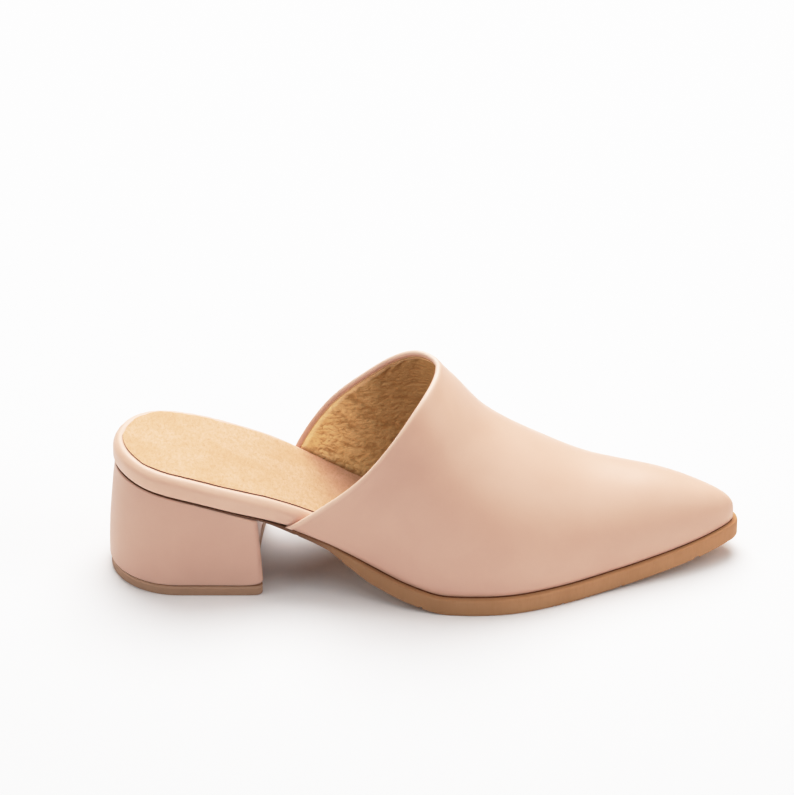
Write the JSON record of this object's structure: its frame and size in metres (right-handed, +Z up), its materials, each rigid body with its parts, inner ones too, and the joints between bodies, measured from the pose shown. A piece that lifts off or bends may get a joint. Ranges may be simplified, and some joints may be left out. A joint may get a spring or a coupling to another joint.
{
  "type": "block heel mule",
  "caption": "Backless pointed shoe on a flared block heel: leather vamp, wrapped insole, sock, sole, heel and top lift.",
  "frame": {"origin": "centre of the heel's foot, on the floor", "axes": "+X from the heel to the toe, +Y to the inner (medial) side, +Z up"},
  "size_m": [0.2654, 0.0833, 0.0936],
  "materials": {
    "upper_leather": "smooth blush leather, satin, tan leather lining inside",
    "rim_leather": "smooth blush leather wrapped round a padded rim, satin",
    "sock_suede": "beige suede, matt, with a dark cut edge",
    "sole_compound": "tan moulded sole, matt, smooth sides",
    "heel_leather": "smooth blush leather wrapped round the block, satin",
    "lift_rubber": "brown rubber, matt"
  },
  "bodies": {
    "root": {"upper": "upper_leather", "insole": "rim_leather", "sock_lining": "sock_suede", "outsole": "sole_compound", "heel_block": "heel_leather", "top_lift": "lift_rubber"}
  },
  "joints": []
}
